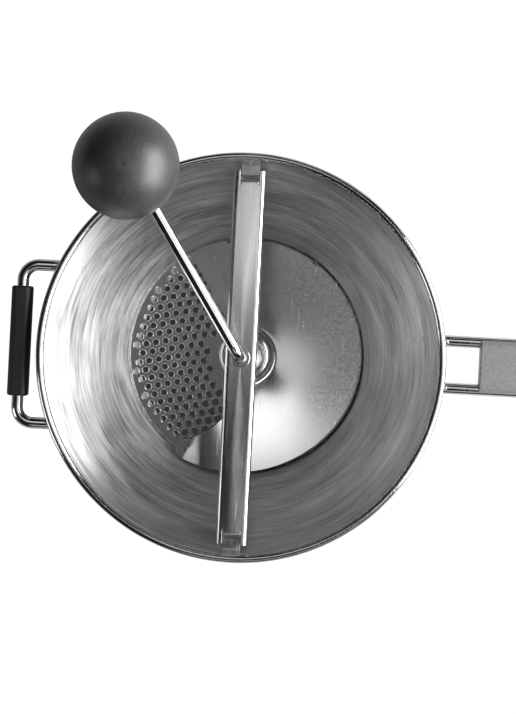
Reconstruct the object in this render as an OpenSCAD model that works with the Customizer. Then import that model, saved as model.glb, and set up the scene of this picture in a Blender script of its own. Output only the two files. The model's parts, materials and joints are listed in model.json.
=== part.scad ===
// Rotary food mill for potatoes. A cone-shaped steel bowl carries a perforated disc on its neck.
// A crank through the crossbar turns a helical blade that presses the food through the disc.
// Z is the bowl's axis, z = 0 is the underside of the neck, +X is the long handle, -X the bail.
// The crossbar lies along Y. The crank is drawn where it stops at rest, over the bail side.

/* [Bowl] */
// Outer radius of the rolled rim
rim_r = 105.5; // [104:0.5:107]
// Height of the rim above the underside of the neck
bowl_h = 88; // [86:0.5:92]
// Thickness of the bowl's sheet
wall = 0.8; // [0.7:0.1:0.9]
// Inner radius of the neck that holds the disc
neck_r = 64.6; // [64.4:0.1:64.9]
// Height of the neck, from the underside to the foot of the cone
neck_h = 10.5; // [9:0.5:11]
// Radius of the outlet inside the neck's lip
outlet_r = 58; // [57:0.5:59]
// Radius of the rolled bead on the rim
bead_r = 2; // [1.8:0.1:2.2]

/* [Perforated disc] */
// Thickness of the disc's sheet
disc_t = 0.8; // [0.7:0.1:0.9]
// Distance between the centres of neighbouring holes
hole_pitch = 5.36; // [5.3:0.02:5.6]
// Radius of one hole
hole_r = 1.5; // [1.2:0.1:1.6]
// Radius inside which the disc has no hole centres
blank_r = 20.6; // [19:0.1:21]
// Turn of the hole rows against the long handle
hole_turn = 12; // [0:0.1:30]

/* [Blade] */
// Radius of the blade's outer edge where it touches down
blade_r = 61.8; // [61:0.1:62]
// Thickness of the blade's sheet
blade_t = 1.2; // [1:0.1:1.5]
// Rise of the blade from its trailing edge to its tip
blade_rise = 15.4; // [12:0.1:16]
// Angle of the trailing edge
blade_trail = 121.6; // [110:0.1:125]
// Angle of the raised tip
blade_tip = -124.5; // [-126:0.1:-118]

/* [Crank] */
// Radius of the crank's rod
rod_r = 3; // [2.9:0.05:3]
// Reach of the crank, from the bowl's axis to the knob's axis
crank_reach = 109.5; // [105:0.5:112]
// Angle of the crank arm at rest
crank_turn = 122.5; // [115:0.5:130]
// Slope of the crank arm above level
arm_slope = 10; // [9:0.5:11]
// Bend radius of the rod's centre line
bend_r = 9; // [8:0.5:10]
// Radius of the ball knob
knob_r = 26.4; // [25:0.1:27]

/* [Crossbar] */
// Width of the channel, which is open downwards
bar_w = 16.2; // [15.8:0.1:16.6]
// Height of the channel's sides
bar_h = 8.5; // [8:0.5:9]
// Thickness of the channel's sheet
bar_t = 1; // [0.9:0.1:1.1]
// Half length of the channel
bar_half = 96.5; // [95:0.5:97]
// Width of the tongue on each end
tongue_w = 9; // [8.5:0.5:9.5]

/* [Handles] */
// Radius of both handle wires
wire_r = 3; // [2.8:0.1:3.1]
// Half the distance between the bail's legs
bail_half = 41; // [38:0.5:42]
// Distance of the bail's grip from the bowl's axis
bail_reach = 115; // [114:0.5:118]
// Length of the bail's grip
bail_grip_l = 57; // [54:0.5:58]
// Half the distance between the long handle's rods
handle_half = 12.2; // [11.8:0.1:12.6]
// Distance of the long handle's end from the bowl's axis
handle_reach = 283; // [270:1:290]
// Front end of the long handle's grip
grip_x0 = 123; // [122:1:130]
// Rear end of the long handle's grip
grip_x1 = 260; // [250:1:262]

/* [Hidden] */
$fn = 96;
eps = 0.02;
seam = 0.02;             // a bend is this much thicker than the straight rods that run into it
root = 0.2;              // depth to which a straight rod runs into a bend
run = 0.06;              // radial running clearance of a shaft in its bush
gap = 0.4;               // free gap between parts that turn past each other

// Bowl
collar_r = rim_r - 2 * bead_r;                 // inner radius of the short collar under the rim
collar_z = bowl_h - 10;                        // foot of the collar
cone_k = (collar_r - neck_r) / (collar_z - neck_h);
cone_a = atan(cone_k);                         // the cone's half angle
miter = wall * tan(cone_a / 2);                // drop of the outer skin's corner at each bend

// Disc
disc_z = wall;
disc_flat_r = 63.1;
hole_shift = [3.3, 1.25];                       // the hole rows are not centred on the disc
disc_edge_r = neck_r - 0.2;
disc_edge_h = 3.2;
lip_r = 2.15;                                  // radius and height left free for a hole's raised lip
lip_h = 0.6;
eyelet_r = 4.5;
eyelet_top = 4;

// Crossbar
bar_z = bowl_h - 4;                            // the channel's flat top
tongue_z = bar_z - 2.9;                        // top of the tongue where it passes the slot
tongue_y0 = 91;                                // where the tongue leaves the flat top
tongue_y1 = collar_r + wall + 2;
relief = 0.5;                                  // slit beside the tongue
slot_h = bar_t + 1.2;
bush_r = 4.2;
washer_r = 4.8;

// Spring and its seat
hub_top = 22;
seat_z = hub_top + 0.2;
seat_t = 1.2;
bush_flange_z = bar_z - bar_t - 1.1;
coil_r = 0.9;
coil_turns = 7;
coil_steps = 16;                               // rings in one turn
coil_r0 = 8.8;
coil_r1 = 5.4;

// Blade
blade_z = disc_z + disc_t + lip_h + gap;
blade_in = 14.4;
lead_x = -40;                                  // centre of the arc that cuts the leading edge
lead_y = -10;
lead_r = 38.6;
tip_round = 6;
blade_grow = 0.5;                              // growth of the outer radius per millimetre of climb

// Crank
shaft_z0 = 0.6;
bend_z = bar_z + 1.8;                          // where the upright shaft ends and the first bend starts
reach_arc = bend_r * (1 - sin(arm_slope));
rise_arc = bend_r * cos(arm_slope);
arm_run = crank_reach - 2 * reach_arc;
arm_rise = arm_run * tan(arm_slope);
spindle_z = bend_z + 2 * rise_arc + arm_rise;  // where the knob's spindle starts
knob_flat_z = spindle_z + 3.4;
knob_z = knob_flat_z + knob_r - 0.8;
bush_top = knob_flat_z + 27;
spindle_top = bush_top + 5;

// Handles
wire_z = bowl_h - 13;                          // height of the wires' level runs
wire_foot_z = 44;
wire_bend = 8;
bite = 0.25;                                   // depth of the wire's welded flat
grip_h = 14;
shell_w = 26.8;
bail_shift = 1.5;                               // both wires are welded on a little to the +Y side
sleeve_shift = 2.8;
handle_shift = 2;
screw_x = [grip_x0 + 20, grip_x1 - 20];

steel = [0.72, 0.72, 0.73];
bright = [0.82, 0.82, 0.83];
charcoal = [0.13, 0.13, 0.14];
grey = [0.42, 0.42, 0.43];

// Radius of the cone's outer skin at height z
function skin_r(z) = neck_r + wall + (z - neck_h + miter) * cone_k;
// Distance out from the axis of a wire's centre that runs down the skin in the plane y = y0
function leg_x(y0, z) = sqrt(pow(skin_r(z) + (wire_r - bite) / cos(cone_a), 2) - y0 * y0);

// A straight rod from a to b, run on into whatever joins it at b, and at a where both is true
module rod(a, b, r, both = true) {
    d = b - a;
    len = norm(d);
    back = both ? root : 0;
    translate(a - d * back / len)
        rotate([0, acos(d[2] / len), atan2(d[1], d[0])])
            cylinder(h = len + back + root, r = r);
}

// A rod of radius r bent round the Z axis from angle a0 through sweep
module bend(big, r, a0, sweep) {
    rotate([0, 0, a0])
        rotate_extrude(angle = sweep)
            translate([big, 0])
                circle(r = r + seam);
}

module ring(r0, r1, z0, z1) {
    translate([0, 0, z0])
        difference() {
            cylinder(h = z1 - z0, r = r1);
            translate([0, 0, -1])
                cylinder(h = z1 - z0 + 2, r = r0);
        }
}

module bowl_section() {
    polygon([
        [outlet_r, 0],
        [neck_r + wall, 0],
        [neck_r + wall, neck_h - miter],
        [collar_r + wall, collar_z - miter],
        [collar_r + wall, bowl_h - bead_r],
        [collar_r, bowl_h - bead_r],
        [collar_r, collar_z],
        [neck_r, neck_h],
        [neck_r, wall],
        [outlet_r, wall]
    ]);
    translate([rim_r - bead_r, bowl_h - bead_r])
        difference() {
            circle(r = bead_r);
            circle(r = bead_r - wall);
        }
}

module bowl() {
    color(steel)
        difference() {
            rotate_extrude($fn = 180)
                bowl_section();
            for (side = [-1, 1])
                translate([0, side * collar_r, tongue_z - slot_h / 2])
                    cube([tongue_w + 2, 8, slot_h], center = true);
        }
}

// Holes on a hexagonal grid, kept between the blank centre and the disc's flat edge
module hole_grid() {
    rows = ceil(disc_flat_r / hole_pitch) + 2;
    for (i = [-rows : rows], j = [-rows : rows]) {
        along = (i + j / 2) * hole_pitch;
        across = j * hole_pitch * sin(60);
        x = hole_shift[0] + along * cos(hole_turn) - across * sin(hole_turn);
        y = hole_shift[1] + along * sin(hole_turn) + across * cos(hole_turn);
        d = norm([x, y]);
        if (d > blank_r && d < disc_flat_r - lip_r)
            translate([x, y])
                circle(r = hole_r, $fn = 24);
    }
}

module perforated_disc() {
    color(bright) {
        translate([0, 0, disc_z])
            linear_extrude(height = disc_t)
                difference() {
                    circle(r = disc_flat_r);
                    circle(r = eyelet_r);
                    hole_grid();
                }
        translate([0, 0, disc_z])
            rotate_extrude($fn = 180)
                polygon([
                    [disc_flat_r - 0.3, 0],
                    [disc_flat_r + 0.6, 0],
                    [disc_edge_r, 1],
                    [disc_edge_r, disc_edge_h + 1.1],
                    [disc_edge_r - 0.4, disc_edge_h + 1.1],
                    [disc_flat_r - 0.1, disc_t],
                    [disc_flat_r - 0.3, disc_t]
                ]);
    }
}

module disc_eyelet() {
    color(steel)
        rotate_extrude()
            polygon([
                [rod_r + run, 0.1],
                [eyelet_r + 2, 0.1],
                [eyelet_r + 2, disc_z],
                [eyelet_r, disc_z],
                [eyelet_r, disc_z + disc_t],
                [eyelet_r + 2, disc_z + disc_t],
                [eyelet_r + 1.6, disc_z + disc_t + 0.7],
                [eyelet_r, disc_z + disc_t + 0.7],
                [eyelet_r, eyelet_top],
                [rod_r + run, eyelet_top]
            ]);
}

// The channel's cross-section, open downwards: x across the bar, y up from the flat top
module channel_section() {
    corner = 2.4;
    inner = corner - bar_t;
    difference() {
        union() {
            translate([-bar_w / 2, -bar_h])
                square([bar_w, bar_h - corner]);
            translate([-bar_w / 2 + corner, -corner - 1])
                square([bar_w - 2 * corner, corner + 1]);
            for (side = [-1, 1])
                translate([side * (bar_w / 2 - corner), -corner])
                    circle(r = corner);
        }
        translate([-bar_w / 2 + bar_t, -bar_h - 1])
            square([bar_w - 2 * bar_t, bar_h + 1 - corner]);
        translate([-bar_w / 2 + corner, -bar_h - 1])
            square([bar_w - 2 * corner, bar_h + 1 - bar_t]);
        for (side = [-1, 1])
            translate([side * (bar_w / 2 - corner), -corner])
                circle(r = inner);
    }
}

// The end tongue's outline: x out along the bar, y up from the flat top
module tongue_section() {
    down = tongue_z - bar_z;
    polygon([
        [tongue_y0 - 4, 0],
        [tongue_y0, 0],
        [tongue_y0 + 3, down],
        [tongue_y1, down],
        [tongue_y1, down - bar_t],
        [tongue_y0 + 2.5, down - bar_t],
        [tongue_y0 - 0.5, -bar_t],
        [tongue_y0 - 4, -bar_t]
    ]);
}

module crossbar() {
    cut_w = tongue_w + 2 * relief;
    chamfer = 4;
    color(bright)
        translate([0, 0, bar_z])
            difference() {
                union() {
                    difference() {
                        rotate([90, 0, 0])
                            linear_extrude(height = 2 * bar_half, center = true)
                                channel_section();
                        for (side = [-1, 1])
                            translate([0, side * (tongue_y0 - 2 + 10), 0])
                                cube([cut_w, 20, 4 * bar_t], center = true);
                    }
                    for (side = [0, 180])
                        rotate([0, 0, 90 + side])
                            rotate([90, 0, 0])
                                linear_extrude(height = tongue_w, center = true)
                                    tongue_section();
                }
                translate([0, 0, -5])
                    cylinder(h = 10, r = bush_r);
                for (side = [-1, 1])
                    translate([0, side * bar_half, -bar_h])
                        rotate([side * 45, 0, 0])
                            cube([bar_w + 2, chamfer, chamfer], center = true);
            }
}

module bar_bush() {
    color(steel)
        rotate_extrude()
            polygon([
                [rod_r + run, bush_flange_z],
                [coil_r1 + coil_r, bush_flange_z],
                [coil_r1 + coil_r, bar_z - bar_t],
                [bush_r, bar_z - bar_t],
                [bush_r, bar_z],
                [washer_r, bar_z],
                [washer_r - 0.3, bar_z + 0.5],
                [rod_r + run, bar_z + 0.5]
            ]);
}

// Centre line of the spring's wire at turn t, from the seat up to the bush's flange
function coil_lift(t) =
    let (u = t / coil_turns, foot = seat_z + seat_t + coil_r + eps, head = bush_flange_z - coil_r - eps)
    foot + (head - foot) * (u < 0.1 ? u * 0.3 : u > 0.9 ? 0.97 + (u - 0.9) * 0.3 : 0.03 + (u - 0.1) * 1.175);
function coil_at(t) =
    let (r = coil_r0 + (coil_r1 - coil_r0) * t / coil_turns)
    [r * cos(360 * t), r * sin(360 * t), coil_lift(t)];
function coil_ring(t) =
    let (c = coil_at(t), sides = 8)
    [for (k = [0 : sides - 1])
        let (a = 360 * k / sides)
        c + coil_r * [cos(a) * cos(360 * t), cos(a) * sin(360 * t), sin(a)]];

module spring() {
    sides = 8;
    last = coil_turns * coil_steps;
    points = [for (i = [0 : last]) each coil_ring(i / coil_steps)];
    walls = [for (i = [0 : last - 1], k = [0 : sides - 1])
        let (a = i * sides + k, b = i * sides + (k + 1) % sides)
        [a, b, b + sides, a + sides]];
    foot = [for (k = [0 : sides - 1]) sides - 1 - k];
    head = [for (k = [0 : sides - 1]) last * sides + k];
    color(steel)
        polyhedron(points = points, faces = concat([foot], walls, [head]), convexity = 10);
}

module spring_seat() {
    color(steel)
        rotate_extrude()
            polygon([
                [rod_r + run, seat_z],
                [11.4, seat_z],
                [11.4, seat_z + 3],
                [10.6, seat_z + 3],
                [10.6, seat_z + seat_t],
                [rod_r + run, seat_z + seat_t]
            ]);
}

// The rod stands in the plane y = 0 and is turned to the crank's angle as a whole
module crank_rod() {
    foot = [reach_arc, 0, bend_z + rise_arc];
    head = [reach_arc + arm_run, 0, bend_z + rise_arc + arm_rise];
    color(bright)
        difference() {
            rotate([0, 0, crank_turn]) {
                translate([0, 0, shaft_z0])
                    cylinder(h = bend_z - shaft_z0 + root, r = rod_r);
                translate([bend_r, 0, bend_z])
                    rotate([90, 0, 0])
                        bend(bend_r, rod_r, 90 + arm_slope, 90 - arm_slope);
                rod(foot, head, rod_r);
                translate([crank_reach - bend_r, 0, spindle_z])
                    rotate([90, 0, 0])
                        bend(bend_r, rod_r, -90 + arm_slope, 90 - arm_slope);
                translate([crank_reach, 0, spindle_z - root])
                    cylinder(h = spindle_top - spindle_z + root, r = rod_r);
            }
            hub_pin_shape(8);
        }
}

module shaft_washer() {
    color(steel)
        ring(rod_r, washer_r, bar_z + 0.6, bar_z + 1.4);
}

function lead_angle(r) =
    let (c = norm([lead_x, lead_y]), cut = acos((r * r + c * c - lead_r * lead_r) / (2 * r * c)))
    max(blade_tip, atan2(lead_y, lead_x) + cut);
// Underside of the blade at the angle a: nearly level behind, steeper towards the tip
function blade_climb(a) =
    let (t = (blade_trail - a) / (blade_trail - blade_tip))
    blade_z + blade_rise * (0.22 * t + 0.78 * pow(t, 3));
// Outer radius at the fraction u of the way from the trailing edge to the tip, rounded at the tip
function blade_edge(u) =
    let (start = 0.976, w = max(0, (u - start) / (1 - start)),
         z = blade_climb(blade_trail + u * (blade_tip - blade_trail)))
    blade_r + blade_grow * max(0, z - neck_h + 0.5) - tip_round * (1 - sqrt(1 - w * w));
function blade_point(u, v, lift) =
    let (r = blade_in + (blade_edge(u) - blade_in) * v, a = blade_trail + u * (lead_angle(r) - blade_trail))
    [r * cos(a), r * sin(a), blade_climb(a) + lift];

module blade() {
    steps = concat([for (i = [0 : 40]) 0.97 * i / 40], [0.98, 0.986, 0.991, 0.995, 0.998, 1]);
    cols = 8;
    row = cols + 1;
    n = len(steps);
    points = [for (lift = [0, blade_t], u = steps, j = [0 : cols]) blade_point(u, j / cols, lift)];
    top = n * row;
    under = [for (i = [0 : n - 2], j = [0 : cols - 1])
        let (a = i * row + j)
        each [[a, a + row, a + row + 1], [a, a + row + 1, a + 1]]];
    over = [for (f = under) [f[2] + top, f[1] + top, f[0] + top]];
    sides = [for (i = [0 : n - 2])
        let (a = i * row, b = i * row + cols)
        each [[a + row, a, a + top, a + row + top], [b, b + row, b + row + top, b + top]]];
    ends = [for (j = [0 : cols - 1])
        let (a = j, b = (n - 1) * row + j)
        each [[a, a + 1, a + 1 + top, a + top], [b + 1, b, b + top, b + 1 + top]]];
    color(bright)
        polyhedron(points = points, faces = concat(under, over, sides, ends), convexity = 6);
}

module blade_hub() {
    skirt = 14.5;
    color(bright)
        difference() {
            rotate_extrude() {
                difference() {
                    union() {
                        translate([rod_r, eyelet_top + 0.6])
                            square([3.4, hub_top - eyelet_top - 0.6]);
                        translate([rod_r, 16])
                            square([skirt - rod_r - 4, hub_top - 16]);
                        translate([skirt - 4, 18])
                            circle(r = 4);
                        translate([skirt - 1.6, blade_z - gap])
                            square([1.6, 18 - blade_z + gap]);
                    }
                    translate([rod_r + 3.4, -1])
                        square([skirt - rod_r - 5, 20.2]);
                }
            }
            hub_pin_shape(8);
        }
}

// The drive pin lies level across the shaft and the hub's tube
module hub_pin_shape(half) {
    translate([0, 0, 11])
        rotate([0, 90, crank_turn + 90])
            cylinder(h = 2 * half, r = 1, center = true, $fn = 32);
}

module hub_pin() {
    color(steel)
        hub_pin_shape(7);
}

module at_knob() {
    rotate([0, 0, crank_turn])
        translate([crank_reach, 0, 0])
            children();
}

module knob_collar() {
    color(steel)
        at_knob()
            ring(rod_r, 5.2, spindle_z + 0.2, knob_flat_z - gap);
}

module knob_retainer() {
    color(steel)
        at_knob()
            ring(rod_r, 4.1, bush_top + gap, bush_top + gap + 1);
}

module knob() {
    color(charcoal)
        at_knob()
            difference() {
                translate([0, 0, knob_z])
                    sphere(r = knob_r, $fn = 128);
                translate([0, 0, knob_flat_z - 20])
                    cylinder(h = 20, r = 20);
                translate([0, 0, knob_flat_z - 1])
                    cylinder(h = spindle_top + 1.5 - knob_flat_z, r = 4.6);
            }
}

module knob_bush() {
    color(steel)
        at_knob()
            ring(rod_r + run, 4.6, knob_flat_z, bush_top);
}

// The bowl's outer skin as a solid, which flattens the wires where they are welded on
module skin_solid() {
    cylinder(h = neck_h, r = neck_r + wall);
    translate([0, 0, neck_h - miter])
        cylinder(h = collar_z - neck_h, r1 = neck_r + wall, r2 = collar_r + wall, $fn = 180);
}

// One wire leg in the plane y = y0: up the skin, over a bend and level out to level_x
module wire_leg(y0, level_x) {
    low = leg_x(y0, wire_foot_z);
    slope = atan2(20, leg_x(y0, wire_foot_z + 20) - low);
    bend_foot_z = wire_z - wire_bend * (1 - cos(slope));
    bend_foot_x = low + (bend_foot_z - wire_foot_z) / tan(slope);
    level_x0 = bend_foot_x + wire_bend * sin(slope);
    rod([low, y0, wire_foot_z], [bend_foot_x, y0, bend_foot_z], wire_r, false);
    translate([level_x0, y0, wire_z - wire_bend])
        rotate([90, 0, 0])
            bend(wire_bend, wire_r, 90, slope);
    rod([level_x0, y0, wire_z], [level_x, y0, wire_z], wire_r);
}

module bail_wire() {
    corner_x = bail_reach - wire_bend;
    color(bright)
        rotate([0, 0, 180])
            difference() {
                union() {
                    for (side = [-1, 1]) {
                        wire_leg(side * bail_half - bail_shift, corner_x);
                        translate([corner_x, side * (bail_half - wire_bend) - bail_shift, wire_z])
                            bend(wire_bend, wire_r, side > 0 ? 0 : -90, 90);
                    }
                    rod([bail_reach, -bail_half + wire_bend - bail_shift, wire_z],
                        [bail_reach, bail_half - wire_bend - bail_shift, wire_z], wire_r);
                }
                skin_solid();
            }
}

module bail_grip() {
    w = 10.5;
    h = 13;
    corner = 3.2;
    color(charcoal)
        translate([-bail_reach, sleeve_shift, wire_z])
            rotate([90, 0, 0])
                linear_extrude(height = bail_grip_l, center = true)
                    difference() {
                        union() {
                            square([w, h - 2 * corner], center = true);
                            square([w - 2 * corner, h], center = true);
                            for (sx = [-1, 1], sy = [-1, 1])
                                translate([sx * (w / 2 - corner), sy * (h / 2 - corner)])
                                    circle(r = corner);
                        }
                        circle(r = wire_r);
                    }
}

module handle_wire() {
    loop_x = handle_reach - wire_r - handle_half;
    color(bright)
        difference() {
            union() {
                for (side = [-1, 1])
                    wire_leg(handle_shift + side * handle_half, loop_x);
                translate([loop_x, handle_shift, wire_z])
                    bend(handle_half, wire_r, -90, 180);
            }
            skin_solid();
        }
}

// Cross-section of the whole grip round both rods: x across, y up, centred on the rods' level
module grip_section() {
    corner = 3.5;
    difference() {
        union() {
            square([shell_w, grip_h - 2 * corner], center = true);
            square([shell_w - 2 * corner, grip_h], center = true);
            for (sx = [-1, 1], sy = [-1, 1])
                translate([sx * (shell_w / 2 - corner), sy * (grip_h / 2 - corner)])
                    circle(r = corner);
        }
        for (side = [-1, 1])
            translate([side * handle_half, 0])
                circle(r = wire_r);
    }
}

// Half of the grip, above (1) or below (-1) the rods' level
module grip_shell(half) {
    translate([grip_x0, handle_shift, wire_z])
        rotate([90, 0, 90])
            linear_extrude(height = grip_x1 - grip_x0)
                intersection() {
                    grip_section();
                    translate([-20, half > 0 ? 0 : -20])
                        square([40, 20]);
                }
}

module handle_grip_top() {
    color(grey)
        difference() {
            grip_shell(1);
            for (x = screw_x)
                translate([x, handle_shift, wire_z - 1])
                    cylinder(h = 5, r = 1.5);
        }
}

module handle_grip_bottom() {
    color(grey)
        difference() {
            grip_shell(-1);
            for (x = screw_x) {
                translate([x, handle_shift, wire_z - grip_h])
                    cylinder(h = grip_h + 1, r = 1.5);
                translate([x, handle_shift, wire_z - grip_h / 2 - 1])
                    cylinder(h = 3.5, r = 3);
            }
        }
}

module grip_screws() {
    head_z = wire_z - grip_h / 2 + 0.5;
    color(steel)
        for (x = screw_x)
            translate([x, handle_shift, head_z])
                difference() {
                    union() {
                        cylinder(h = 2, r = 2.8);
                        cylinder(h = wire_z + 4 - head_z, r = 1.5);
                    }
                    for (a = [0, 90])
                        rotate([0, 0, a])
                            cube([3, 0.8, 1.8], center = true);
                }
}

bowl();
perforated_disc();
disc_eyelet();
crossbar();
bar_bush();
spring();
spring_seat();
crank_rod();
shaft_washer();
blade();
blade_hub();
hub_pin();
knob_collar();
knob_retainer();
knob();
knob_bush();
bail_wire();
bail_grip();
handle_wire();
handle_grip_top();
handle_grip_bottom();
grip_screws();
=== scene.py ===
import json
import math

import bmesh
import bpy
from mathutils import Matrix, Vector


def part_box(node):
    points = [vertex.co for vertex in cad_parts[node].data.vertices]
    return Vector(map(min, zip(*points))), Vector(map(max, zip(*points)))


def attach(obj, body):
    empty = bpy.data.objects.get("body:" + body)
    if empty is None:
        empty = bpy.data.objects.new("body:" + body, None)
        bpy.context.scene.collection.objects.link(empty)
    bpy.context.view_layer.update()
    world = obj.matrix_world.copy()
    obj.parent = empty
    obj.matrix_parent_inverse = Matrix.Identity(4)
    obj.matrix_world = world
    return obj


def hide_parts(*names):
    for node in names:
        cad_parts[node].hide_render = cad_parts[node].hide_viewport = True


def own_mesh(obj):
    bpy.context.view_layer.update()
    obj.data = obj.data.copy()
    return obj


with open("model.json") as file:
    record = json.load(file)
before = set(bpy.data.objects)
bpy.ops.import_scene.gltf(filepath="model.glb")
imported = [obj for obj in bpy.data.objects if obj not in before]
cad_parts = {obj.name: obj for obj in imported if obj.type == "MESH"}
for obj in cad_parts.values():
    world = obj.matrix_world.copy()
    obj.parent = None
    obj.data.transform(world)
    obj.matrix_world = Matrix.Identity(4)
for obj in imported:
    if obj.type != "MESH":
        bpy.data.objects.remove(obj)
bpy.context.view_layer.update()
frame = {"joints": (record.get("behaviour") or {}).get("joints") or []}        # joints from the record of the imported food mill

# Camera. It looks straight down into the bowl from a standing person's height, a little to the
# long handle's side of the shaft, with the frame turned three degrees against the handle.
scene = bpy.context.scene
scene.view_settings.view_transform = "Standard"
camera_place = Vector((0.0439, 0.0301, 1.388))
frame_turn = math.radians(3)
right = Vector((math.cos(frame_turn), math.sin(frame_turn), 0))
up = Vector((-math.sin(frame_turn), math.cos(frame_turn), 0))
back = (0.0280 * right + 0.0209 * up + Vector((0, 0, 1))).normalized()
camera_right = up.cross(back).normalized()
camera_data = bpy.data.cameras.new("camera")
camera_data.lens = 127.97
camera_data.sensor_width = 36
camera = bpy.data.objects.new("camera", camera_data)
scene.collection.objects.link(camera)
axes = Matrix((camera_right, back.cross(camera_right), back)).transposed()
camera.matrix_world = Matrix.Translation(camera_place) @ axes.to_4x4()
scene.camera = camera


# Studio. A plain pale floor that reads as clean white, with painted shade inside the neck, where
# its glow is dimmed. A large soft light stands on the long handle's side and three weak ones round
# the mill. The level steel mirrors a few dim ceiling panels, in a dark room.
def put(tree, kind, values=None, **settings):
    """Adds a node to a tree; values are sockets to link from, or constants, by input."""
    node = tree.nodes.new(kind)
    for key, value in settings.items():
        setattr(node, key, value)
    for key, value in (values or {}).items():
        if isinstance(value, bpy.types.NodeSocket):
            tree.links.new(value, node.inputs[key])
        else:
            node.inputs[key].default_value = value
    return node


def softbox(name, place, target, width, height, radiance):
    """A rectangular light of an even brightness, in metres, turned to face a target."""
    data = bpy.data.lights.new(name, "AREA")
    data.shape = "RECTANGLE"
    data.size = width
    data.size_y = height
    data.energy = radiance * math.pi * width * height
    light = bpy.data.objects.new(name, data)
    light.location = place
    light.rotation_mode = "QUATERNION"
    light.rotation_quaternion = (Vector(place) - Vector(target)).to_track_quat("Z", "Y")
    scene.collection.objects.link(light)


bowl_middle = (0, 0, 0.05)
for name, stand, width, height, radiance in (
        ("key_light", (1.5, 0.0, 0.75), 2.1, 1.2, 13),
        ("fill_light", (-1.5, -0.55, 0.6), 0.6, 0.8, 2.4),
        ("near_light", (0.3, -1.2, 1.1), 1.4, 0.7, 0.5),
        ("far_light", (0.4, 1.45, 0.8), 1.0, 0.35, 0.4)):
    softbox(name, stand, bowl_middle, width, height, radiance)
ceiling_z = 1.6
for name, low, high, radiance in (
        ("overhead_light", (0.30, -0.62), (0.80, 0.30), 2.0),
        ("overhead_light_edge", (0.235, -0.05), (0.30, 0.30), 2.2),
        ("overhead_far", (-0.4, 0.22), (0.25, 0.85), 0.9),
        ("overhead_spill", (-0.5, -0.18), (0.235, 0.22), 0.16)):
    middle = ((low[0] + high[0]) / 2, (low[1] + high[1]) / 2)
    softbox(name, (*middle, ceiling_z), (*middle, 0), high[0] - low[0], high[1] - low[1], radiance)


def cleared(owner):
    """The emptied node tree of a world or material."""
    owner.use_nodes = True
    owner.node_tree.nodes.clear()
    return owner.node_tree


def seen_and_lit(tree, for_light, for_camera, output):
    """Shows one shader to the camera and another to all other rays."""
    seen = put(tree, "ShaderNodeLightPath").outputs["Is Camera Ray"]
    blend = put(tree, "ShaderNodeMixShader", {
        0: seen, 1: for_light.outputs[0], 2: for_camera.outputs[0]})
    put(tree, output, {"Surface": blend.outputs[0]})


world = bpy.data.worlds.new("room")
tree = cleared(world)
seen_and_lit(tree, put(tree, "ShaderNodeBackground", {"Color": (0.015, 0.015, 0.015, 1)}),
             put(tree, "ShaderNodeBackground", {"Color": (1, 1, 1, 1)}), "ShaderNodeOutputWorld")
scene.world = world

floor_half = 4
floor_drop = 0.0003
floor_corners = ((-1, -1), (1, -1), (1, 1), (-1, 1))
floor_mesh = bpy.data.meshes.new("floor")
floor_mesh.from_pydata([(x * floor_half, y * floor_half, -floor_drop) for x, y in floor_corners],
                       [], [(0, 1, 2, 3)])
floor = bpy.data.objects.new("floor", floor_mesh)
scene.collection.objects.link(floor)
paper = bpy.data.materials.new("white_paper")
tree = cleared(paper)
matt = put(tree, "ShaderNodeBsdfDiffuse", {"Color": (0.5, 0.5, 0.5, 1)})
on_paper = put(tree, "ShaderNodeTexCoord").outputs["Object"]
from_axis = put(tree, "ShaderNodeVectorMath", {0: on_paper}, operation="LENGTH").outputs["Value"]
# Inside the neck the floor's glow is dimmed almost to black: painted shade under the disc, seen
# through its holes.
neck_painted_shade = 0.03
outside_neck = 1.05
floor_glow_and_painted_shade = put(tree, "ShaderNodeMapRange", {
    "Value": from_axis, "From Min": 0.058, "From Max": 0.066,
    "To Min": neck_painted_shade, "To Max": outside_neck}).outputs[0]
lit = put(tree, "ShaderNodeEmission", {"Color": (1, 1, 1, 1), "Strength": floor_glow_and_painted_shade})
seen_and_lit(tree, matt, lit, "ShaderNodeOutputMaterial")
floor_mesh.materials.append(paper)


# Bowl. One spun sheet of stainless steel: a neck with a turned-in lip, a cone, a short collar
# and a curled rim. It is brushed round and round on the lathe, and the curl is left bright.
mm = 0.001


def box_mm(node):
    """Lowest and highest corner of a frame node, in millimetres."""
    low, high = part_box(node)
    return low / mm, high / mm


def mesh_object(name, points, faces):
    """A new object at the origin, from points in millimetres."""
    mesh = bpy.data.meshes.new(name)
    mesh.from_pydata([Vector(p) * mm for p in points], [], faces)
    obj = bpy.data.objects.new(name, mesh)
    scene.collection.objects.link(obj)
    return obj


def weld(parts, reach):
    """Joins parts into the first, merges points nearer than reach and turns the faces outwards."""
    work = bmesh.new()
    for part in parts:
        work.from_mesh(part.data)
    bmesh.ops.remove_doubles(work, verts=work.verts, dist=reach * mm)
    bmesh.ops.recalc_face_normals(work, faces=work.faces)
    work.to_mesh(parts[0].data)
    work.free()
    for part in parts[1:]:
        bpy.data.objects.remove(part)


def smooth(obj, crease=34):
    """Cleans a mesh and shades all but its real edges smooth."""
    weld([obj], 0.003)
    obj.data.shade_smooth()
    obj.data.set_sharp_from_angle(angle=math.radians(crease))
    return obj


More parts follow.
